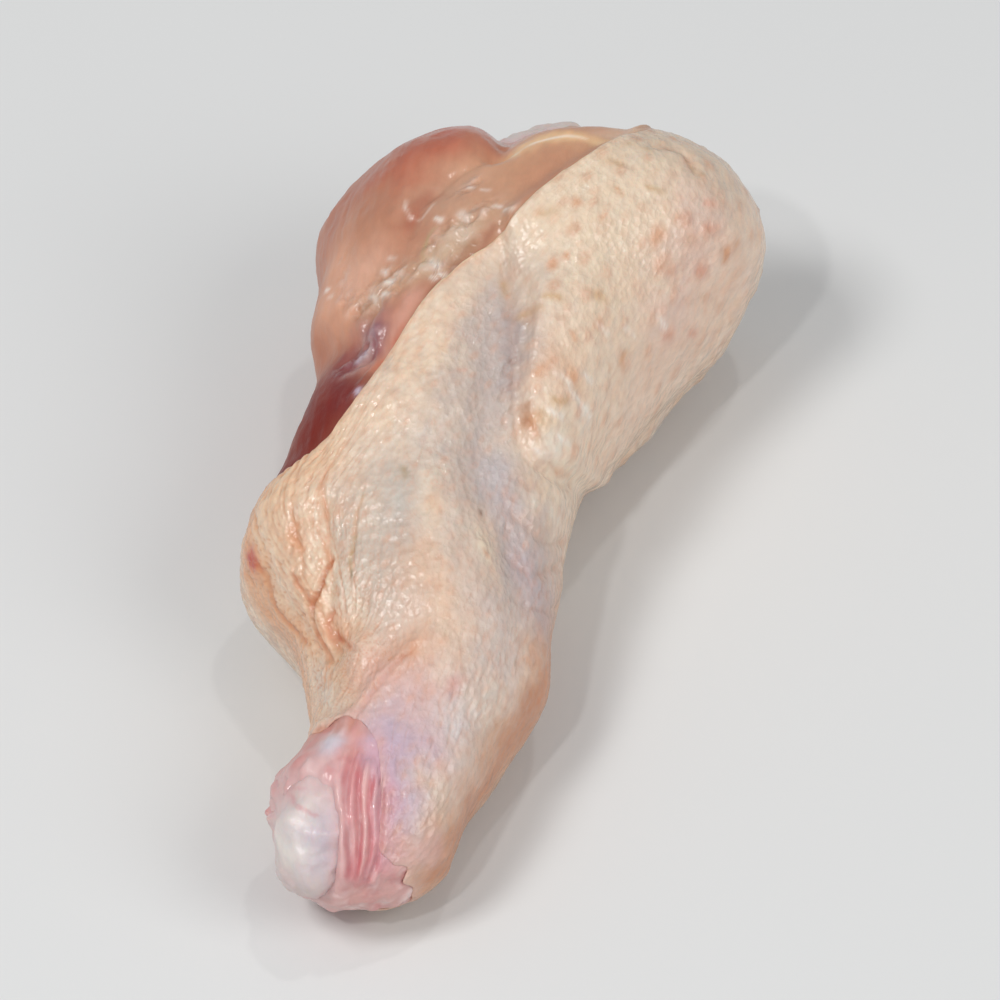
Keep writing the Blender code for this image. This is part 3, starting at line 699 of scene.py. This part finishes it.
def follicles(points, spacing, radius, seed):
    """Height and redness of scattered bumps, drawn out along one heading."""
    draw = np.random.default_rng(seed)
    flat = points.reshape(-1, 3)
    flat = flat - SPOT_STRETCH * (flat @ SPOT_HEADING)[:, None] * SPOT_HEADING
    tree = tree_of(flat)
    taken = np.zeros(len(flat), bool)
    height, redness = np.zeros(len(flat)), np.zeros(len(flat))
    for middle in draw.permutation(len(flat)):
        if taken[middle]:
            continue
        size = radius * draw.uniform(0.7, 1.3)
        strength = draw.uniform(0.4, 1.0) ** 1.5
        for _, i, distance in tree.find_range(flat[middle], spacing):
            taken[i] = True
            bump = strength * fades(distance, size)
            height[i] += bump
            redness[i] += bump * min(distance / size + 0.3, 1)
    return height.reshape(points.shape[:-1]), redness.reshape(points.shape[:-1])


def tree_of(points):
    tree = kdtree.KDTree(len(points))
    for i, point in enumerate(points):
        tree.insert(point, i)
    tree.balance()
    return tree


def linear(colour):
    c = np.array(colour, float) / 255
    return np.where(c > 0.04045, ((c + 0.055) / 1.055) ** 2.4, c / 12.92)


def mixed(colours, colour, share):
    share = np.clip(share, 0, 1)[..., None]
    return colours * (1 - share) + linear(colour) * share


def mottled(points, colours, mottles, share=1, layers=3):
    """The colour or colours with patches of others, where the noise is above zero."""
    for colour, strength, size, seed in mottles:
        patches = np.clip(layered_noise(points, size, seed, layers), 0, 1)
        colours = mixed(colours, colour, strength * share * patches)
    return colours


def painted(points, colours, strokes, seed):
    """The colours with soft strokes over them, whose outlines wander with the noise."""
    wander, fine = (
        amount * np.stack([noise(points, size, seed + first + i) for i in range(3)], axis=-1)
        for size, amount, first in WANDERS
    )
    patchy = np.clip(0.9 + 0.8 * noise(points, 2.2, seed + 9), 0.2, 1)
    for half_width, colour, strength, path in strokes:
        shift = wander * min(half_width / 3, 1) + fine * min(half_width + 0.2, 1)
        share = strength * near_path(points + shift, path, STROKE_SPREAD * half_width)
        colours = mixed(colours, colour, share * (patchy if half_width < 1 else 1))
    return colours


def spot_strokes(spots, colours, strength):
    """A short stroke for each single spot, drawn out a little one way or another."""
    strokes = []
    for along, degrees, radius, kind in spots:
        reach, turn = 0.35 * radius, kind - 1
        path = (along - reach, degrees + turn, along + reach, degrees - turn)
        strokes.append((0.75 * radius, colours[kind], strength, path))
    return tuple(strokes)


def add_object(name, data):
    item = bpy.data.objects.new(name, data)
    bpy.context.scene.collection.objects.link(item)
    return item


def add_piece(name, points, faces, colours, node):
    """Mesh that stands for one of the part's nodes, with its colours on the vertices."""
    mesh = bpy.data.meshes.new(name)
    mesh.from_pydata((points * MM).tolist(), [], faces)
    mesh.shade_smooth()
    layer = mesh.color_attributes.new("tint", "FLOAT_COLOR", "POINT")
    rgba = np.concatenate([colours, np.ones((len(colours), 1))], axis=1)
    layer.data.foreach_set("color", rgba.astype(np.float32).reshape(-1))
    piece = add_object(name, mesh)
    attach(piece, "root")
    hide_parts(node)
    return piece


def quads_between(rings):
    """Faces between rows of vertex numbers, facing out where each row is further on."""
    first, second = rings[:-1], rings[1:]
    corners = [first, second, np.roll(second, -1, 1), np.roll(first, -1, 1)]
    return np.stack(corners, axis=-1).reshape(-1, 4)


def skin_relief(along, degrees):
    """Height of the skin over the smooth body, and its masks: spots, pores and creases."""
    base = body(along, degrees)
    pad = pad_share(along, degrees)
    spot_height, spots = follicles(base, *SPOTS)
    pore_height, pores = follicles(base, *PORES)
    spot_share = OFF_PAD + (1 - OFF_PAD) * pad
    cut = fold_height(base, SKIN_CREASES)
    fan = fan_wrinkles(base, along, degrees)
    lines = fine_wrinkles(base, along, pad)
    height = PAD_RISE * pad + fold_height(base, SKIN_FOLDS + KNUCKLE_CORDS) + cut
    height += unevenness(base) + lumps(base, SKIN_LUMPS)
    height -= WRINKLE_DEPTH * lines + FAN_DEPTH * fan
    height += SPOT_HEIGHT * spot_height * spot_share + PORE_HEIGHT * (1 + pad) * pore_height
    creases = np.clip(0.3 * lines + 0.8 * fan - 0.4 * np.minimum(cut, 0), 0, 1)
    return height, spots * spot_share, pores, creases


def skin_colours(base, spots, pores, creases, to_knuckle, to_shoulder):
    colours = mottled(base, linear(SKIN_COLOUR), SKIN_MOTTLES)
    # Pad spots, with painted highlights among them.
    spot_and_glint_marks = spot_strokes(PAD_SPOTS_AND_GLINTS, PAD_SPOT_AND_GLINT_COLOURS, 0.75)
    colours = painted(base, colours, SKIN_STROKES + spot_and_glint_marks + KNUCKLE_STROKES, 51)
    # Crease colour, partly painted shade, then pores, spots and the edges.
    marks = (creases, pores, spots, fades(to_knuckle, 0.9), fades(to_shoulder, 0.6))
    for (colour, strength), mark in zip(SKIN_MARKS_AND_CREASE_SHADE, marks):
        colours = mixed(colours, colour, strength * mark)
    return colours


def add_skin():
    """A shell: its outside, a lip at each end and the lining between them."""
    degrees = degrees_round(SKIN_COLUMNS)
    knuckle, knuckle_slant, shoulder, shoulder_slant = skin_edges(degrees)
    thin, thick = SKIN_LIPS
    thick = thick + 0.3 * pad_share(shoulder, degrees)
    thick += 0.1 * noise(body(shoulder, degrees), 5.0, 95)
    start, end = knuckle + thin * knuckle_slant, shoulder - thick * shoulder_slant
    fraction = np.linspace(0, 1, SKIN_RINGS)[:, None]
    along = start + fraction * (end - start)
    height, *marks = skin_relief(along, degrees)
    outer = raised(along, degrees, height, 0.0)

    turn = np.linspace(0, np.pi, LIP_RINGS + 1)[1:, None]
    reach, drop = np.sin(turn), 1 - np.cos(turn)
    lip_end = raised(end + thick * shoulder_slant * reach, degrees, height[-1] - thick * drop, 0.2)
    lip_start = raised(start - thin * knuckle_slant * reach, degrees, height[0] - thin * drop, 0.1)
    fraction = (1 - np.cos(np.linspace(0, np.pi, LINING_RINGS)))[1:-1, None] / 2
    lining_along = end + fraction * (start - end)
    dips = np.minimum(fold_height(body(lining_along, degrees), SKIN_FOLDS), 0)
    lining = raised(lining_along, degrees, dips - LINING_DEPTH, LINING_FLOOR)

    points = np.concatenate([outer, lip_end, lining, lip_start[::-1]])
    rings = np.arange(points.shape[0] * SKIN_COLUMNS).reshape(-1, SKIN_COLUMNS)
    faces = quads_between(np.concatenate([rings, rings[:1]]))

    to_knuckle = (along - knuckle) / knuckle_slant
    to_shoulder = (shoulder - along) / shoulder_slant
    colours = skin_colours(body(along, degrees), *marks, to_knuckle, to_shoulder)
    fat = mixed(colours[-1:], FAT_COLOUR, np.array(0.7))
    under_end = np.repeat(fat, LIP_RINGS + len(lining), axis=0)
    under_start = np.repeat(colours[:1], LIP_RINGS, axis=0)
    colours = np.concatenate([colours, under_end, under_start]).reshape(-1, 3)
    return add_piece("skin_look", points.reshape(-1, 3), faces.tolist(), colours, "skin")


def membrane_relief(base):
    """Height of the puckered membranes and, 0 to 1, their ridges, creases, flecks and extent."""
    height, ridges, creases, spread = (np.zeros(base.shape[:-1]) for _ in range(4))
    place = base - 0.3 * (base @ MEMBRANE_HEADING)[..., None] * MEMBRANE_HEADING
    bumps = layered_noise(place, 1.6, 115, 2)
    lines = wrinkles(place, 1.6, 121)
    patches = 0.3 + 0.7 * smooth_step(0.6 + 1.4 * noise(place, 2.4, 127))
    fleck_height, flecks = follicles(place, *FLECKS)
    for half_width, rise, path in MEMBRANES:
        share = rise * patches * near_path(base, path, half_width, 4)
        height += share * (bumps - 0.6 * lines + 0.5 * fleck_height)
        ridges += share * np.clip(2.5 * bumps, 0, 1)
        creases += share * lines
        spread += share
    return height, 2 * ridges, 2 * creases, 2 * spread * flecks, np.clip(2 * spread, 0, 0.6)


def knob_collar(points):
    """Tissue that climbs a little way up each knob of gristle."""
    collar = np.zeros(points.shape[:-1])
    for middle, radii in (KNOBS[0], KNOBS[2]):
        across = (points - (np.array(middle) - MIDDLE)) / np.array(radii)
        away = (np.linalg.norm(across, axis=-1) - 1) * min(radii)
        collar += 0.6 * fades(away, 0.8)
    return collar


def meat_relief(along, degrees, past_knuckle, past_shoulder):
    """Height of the meat over the smooth body: bare past the skin's edges, sunk under it."""
    base = body(along, degrees)
    out_of_skin = np.maximum(past_knuckle, past_shoulder)
    at_shoulder = past_shoulder > past_knuckle
    depth = np.where(at_shoulder, SHOULDER_DEPTH, KNUCKLE_DEPTH)
    height = fold_height(base, MEAT_FOLDS + MEAT_CREASES + KNUCKLE_CORDS)
    height += unevenness(base) + lumps(base, MEAT_LUMPS)
    height += np.where(at_shoulder, lumps(base, MUSCLE_GRAIN), lumps(base, TISSUE_LUMPS))
    membrane, *marks = membrane_relief(base)
    height += membrane
    height += knob_collar(raised(along, degrees, height - depth, -np.inf))
    pad = PAD_RISE * pad_share(along, degrees)
    folds = fold_height(base, SKIN_FOLDS + SKIN_CREASES)
    height += fades(np.maximum(out_of_skin, 0), 1.6) * (folds + 0.8 * pad)
    bare = smooth_step(out_of_skin / BARE_RAMP + 1)
    height = bare * height - (HIDDEN_DEPTH - (HIDDEN_DEPTH - depth) * bare)
    skin = pad + folds + unevenness(base)
    under_skin = smooth_step((0.4 - out_of_skin) / 1.5)
    capped = np.minimum(height, skin - RIM_DEPTH * under_skin)
    return np.where(under_skin > 0, capped, height), marks


def meat_colours(base, along, membrane_masks):
    colours = mottled(base, linear(MEAT_COLOUR), MEAT_MOTTLES)
    colours = painted(base, colours, MEAT_STROKES, 131)
    colours = mottled(base, colours, TISSUE_MOTTLES, smooth_step((10 - along) / 6))
    colours = painted(base, colours, KNUCKLE_STROKES, 133)
    colours = mottled(base, colours, MUSCLE_STREAKS, smooth_step((along - 44) / 12), 1)
    # Painted highlight on the membrane's ridges, painted shade in its creases, and white flecks.
    for (colour, strength), mark in zip(MEMBRANE_TONES_AND_PAINTED_LIGHT, membrane_masks):
        colours = mixed(colours, colour, strength * mark)
    # Painted highlights: the membrane's glints as white dabs.
    return painted(base, colours, spot_strokes(PAINTED_GLINTS, PAINTED_GLINT_COLOURS, 0.65), 137)


def wetness(base):
    wet = np.full(base.shape[:-1], MEAT_WETNESS)
    for half_width, value, path in WET_STROKES:
        wet += (value - wet) * near_path(base, path, half_width)
    return wet


def add_meat():
    """Rings from the knuckle to the shoulder, close together where the meat is bare."""
    degrees = degrees_round(MEAT_COLUMNS)
    knuckle, knuckle_slant, shoulder, shoulder_slant = skin_edges(degrees)
    under_start = knuckle + HIDDEN_DEPTH * knuckle_slant
    under_end = shoulder - HIDDEN_DEPTH * shoulder_slant
    stretches = (
        (ALONG_START + POLE_GAP, under_start, np.linspace(0, 1, KNUCKLE_RINGS)),
        (under_start, under_end, np.linspace(0, 1, COVERED_RINGS)[1:-1]),
        (under_end, ALONG_END - POLE_GAP, np.linspace(0, 1, BARE_RINGS)),
    )
    along = np.concatenate([a + t[:, None] * (b - a) for a, b, t in stretches])
    past_knuckle = (knuckle - along) / knuckle_slant
    past_shoulder = (along - shoulder) / shoulder_slant
    height, (*marks, pucker) = meat_relief(along, degrees, past_knuckle, past_shoulder)
    points = raised(along, degrees, height, MEAT_FLOOR)
    base = body(along, degrees)
    colours = meat_colours(base, along, marks)

    rings = np.arange(along.size).reshape(-1, MEAT_COLUMNS)
    poles = [points[0].mean(axis=0), points[-1].mean(axis=0)]
    faces = quads_between(rings).tolist()
    faces += [(along.size, b, a) for a, b in zip(rings[0], np.roll(rings[0], 1))]
    faces += [(along.size + 1, a, b) for a, b in zip(rings[-1], np.roll(rings[-1], 1))]
    points = np.concatenate([points.reshape(-1, 3), poles])
    colours = np.concatenate([colours.reshape(-1, 3), colours[0, :1], colours[-1, :1]])
    piece = add_piece("meat_look", points, faces, colours, "meat")
    for name, values in (("wet", wetness(base)), ("pucker", pucker)):
        layer = piece.data.attributes.new(name, "FLOAT", "POINT")
        layer.data.foreach_set("value", np.append(values, values[[0, -1], 0]).astype(np.float32))
    return piece


def on_body(points):
    """The nearest points of the smooth body, so that strokes reach what stands off it."""
    along = np.concatenate([np.arange(ALONG_START, 12, 0.15), np.arange(82, ALONG_END, 0.5)])
    grid = body(along[:, None], np.arange(-180, 180, 1.0)).reshape(-1, 3)
    tree = tree_of(grid)
    return grid[[tree.find(point)[1] for point in points]]


def points_of(mesh):
    points = np.empty(len(mesh.vertices) * 3)
    mesh.vertices.foreach_get("co", points)
    return points.reshape(-1, 3) / MM


def add_ball(shape, middle, radii, subdivisions):
    place = Matrix.LocRotScale(Vector(middle * MM), None, Vector(radii) * MM)
    bmesh.ops.create_icosphere(shape, subdivisions=subdivisions, radius=1, matrix=place)


def bone_shape():
    """Knobs, torn lumps and shaft, which run into each other."""
    shape = bmesh.new()
    for middle, radii in KNOBS:
        add_ball(shape, np.array(middle) - MIDDLE, radii, 4)
    for along, degrees, lift, radius in TORN_LUMPS:
        add_ball(shape, raised(np.array(float(along)), degrees, lift, 0), [radius] * 3, 3)
    axis = BONE_END - BONE_START
    turn = Vector(axis).to_track_quat("Z", "Y")
    for (low, low_radius), (high, high_radius) in zip(BONE_PROFILE[:-1], BONE_PROFILE[1:]):
        middle = BONE_START + axis / np.linalg.norm(axis) * (low + high) / 2 - MIDDLE
        bmesh.ops.create_cone(
            shape,
            cap_ends=True,
            segments=48,
            radius1=low_radius * MM,
            radius2=high_radius * MM,
            depth=(high - low + 0.2) * MM,
            matrix=Matrix.LocRotScale(Vector(middle * MM), turn, None),
        )
    return shape


def one_skin(shape):
    """Mesh of the shape, made one by a voxel remesh and then smoothed."""
    rough = add_object("rough", bpy.data.meshes.new("rough"))
    shape.to_mesh(rough.data)
    shape.free()
    remesh = rough.modifiers.new("one skin", "REMESH")
    remesh.mode = "VOXEL"
    remesh.voxel_size = BONE_VOXEL * MM
    smooth = rough.modifiers.new("smooth", "SMOOTH")
    smooth.factor = 0.5
    smooth.iterations = 14
    graph = bpy.context.evaluated_depsgraph_get()
    mesh = bpy.data.meshes.new_from_object(rough.evaluated_get(graph))
    bpy.data.objects.remove(rough)
    return mesh


def add_bone():
    mesh = one_skin(bone_shape())
    points = points_of(mesh)
    out = np.empty(points.size)
    mesh.vertex_normals.foreach_get("vector", out)
    points += out.reshape(-1, 3) * lumps(points, BONE_LUMPS)[:, None]
    colours = mottled(points, linear(BONE_COLOUR), BONE_MOTTLES)
    colours = painted(on_body(points), colours, BONE_STROKES, 181)
    faces = [tuple(face.vertices) for face in mesh.polygons]
    return add_piece("bone_look", points, faces, colours, "bone")


def tint_contacts(pieces):
    """Tissue runs from one piece into the next: each takes some of the other's colour."""
    for name, near, reach, colour, strength in CONTACTS:
        tree = tree_of(points_of(pieces[near].data))
        gap = np.array([tree.find(point)[2] for point in points_of(pieces[name].data)])
        layer = pieces[name].data.color_attributes["tint"]
        rgba = np.empty(len(gap) * 4, np.float32)
        layer.data.foreach_get("color", rgba)
        rgba = rgba.reshape(-1, 4)
        rgba[:, :3] = mixed(rgba[:, :3], colour, strength * fades(gap, reach))
        layer.data.foreach_set("color", rgba.reshape(-1))


def new_node(tree, kind, **inputs):
    node = tree.nodes.new("ShaderNode" + kind)
    set_inputs(tree, node, {name.replace("_", " "): value for name, value in inputs.items()})
    return node


def set_inputs(tree, node, inputs):
    """Sockets are linked to the node's inputs of those names, other values are set on them."""
    for name, value in inputs.items():
        if isinstance(value, bpy.types.NodeSocket):
            tree.links.new(value, node.inputs[name])
        else:
            node.inputs[name].default_value = value


def layer_value(tree, name, output="Fac"):
    """Socket that gives the mesh's own value of that name at each point."""
    node = new_node(tree, "Attribute")
    node.attribute_name = name
    return node.outputs[output]


def ranged(tree, value, low, high):
    """Socket with the middle of the noise's range spread from low to high."""
    node = new_node(tree, "MapRange", Value=value, To_Min=low, To_Max=high)
    set_inputs(tree, node, {"From Min": 0.3, "From Max": 0.7})
    return node.outputs[0]


def bumped(tree, height, strength, distance, **below):
    node = new_node(
        tree, "Bump", Height=height, Strength=strength, Distance=distance, **below
    )
    return node.outputs[0]


def new_shader(piece):
    """Node tree and shader of a new material on the piece."""
    material = bpy.data.materials.new(piece.name)
    material.use_nodes = True
    piece.data.materials.append(material)
    return material.node_tree, material.node_tree.nodes["Principled BSDF"]


def flesh_material(piece, stretch, mottle, roughness, bump, cells, inside, coat, specular):
    """Wet flesh: vertex tint with fine mottling, grain in roughness and bump, light inside."""
    tree, shader = new_shader(piece)
    place = new_node(tree, "TexCoord").outputs["Object"]
    place_in_grain = new_node(tree, "Mapping", Vector=place, Scale=stretch).outputs[0]
    grain = new_node(
        tree, "TexNoise", Vector=place_in_grain, Scale=900, Detail=5, Roughness=0.6
    ).outputs["Fac"]
    cell = new_node(tree, "TexVoronoi", Vector=place_in_grain, Scale=cells)
    toned = new_node(
        tree, "HueSaturation", Color=layer_value(tree, "tint", "Color"),
        Value=ranged(tree, grain, 1 - mottle, 1 + mottle),
    )
    normal = bumped(tree, grain, bump[0], 0.0005)
    normal = bumped(tree, cell.outputs["Distance"], bump[1], 0.0002, Normal=normal)
    if "pucker" in piece.data.attributes:
        puckers = new_node(
            tree, "TexNoise", Vector=place, Scale=520, Detail=2, Distortion=0.6
        ).outputs["Fac"]
        normal = bumped(tree, puckers, layer_value(tree, "pucker"), 0.0012, Normal=normal)
    set_inputs(tree, shader, {
        "Base Color": toned.outputs[0],
        "Roughness": ranged(tree, grain, *roughness),
        "Normal": normal,
        "Subsurface Weight": inside,
        "Subsurface Radius": (1, 0.4, 0.25),
        "Subsurface Scale": 0.0016,
        "Specular IOR Level": specular,
        "Coat Weight": coat[0],
        "Coat Roughness": coat[1],
        "Coat Normal": normal,
    })
    if "wet" in piece.data.attributes:
        set_inputs(tree, shader, {"Coat Weight": layer_value(tree, "wet")})


def add_camera():
    aim = Vector(CAMERA_AIM).normalized()
    right = Vector(CAMERA_RIGHT)
    right = (right - aim * right.dot(aim)).normalized()
    up = right.cross(aim)
    camera = add_object("camera", bpy.data.cameras.new("camera"))
    turn = Matrix((right, up, -aim)).transposed().to_4x4()
    camera.matrix_world = Matrix.Translation(CAMERA_PLACE) @ turn
    camera.data.lens = CAMERA_LENS
    camera.data.clip_start = 0.01
    bpy.context.scene.camera = camera


def add_lights():
    for number, (place, side, power) in enumerate(LIGHTS):
        light = bpy.data.lights.new(f"softbox_{number}", "AREA")
        light.size = side
        light.energy = power
        lamp = add_object(light.name, light)
        lamp.location = place
        lamp.rotation_euler = (-Vector(place)).to_track_quat("-Z", "Y").to_euler()
    world = bpy.data.worlds.new("studio")
    world.use_nodes = True
    sky = {"Color": SKY_COLOUR, "Strength": SKY_STRENGTH}
    set_inputs(world.node_tree, world.node_tree.nodes["Background"], sky)
    bpy.context.scene.world = world


def add_floor():
    mesh = bpy.data.meshes.new("floor")
    corners = [(-2, -2, 0), (2, -2, 0), (2, 2, 0), (-2, 2, 0)]
    mesh.from_pydata(corners, [], [(0, 1, 2, 3)])
    floor = add_object("floor", mesh)
    set_inputs(*new_shader(floor), {"Base Color": FLOOR_COLOUR, "Roughness": 0.7})


def main():
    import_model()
    pieces = {piece.name: piece for piece in (add_skin(), add_meat(), add_bone())}
    tint_contacts(pieces)
    for piece in pieces.values():
        flesh_material(piece, *LOOKS[piece.name])
    add_floor()
    add_lights()
    add_camera()
    bpy.context.scene.view_settings.view_transform = "Standard"


main()
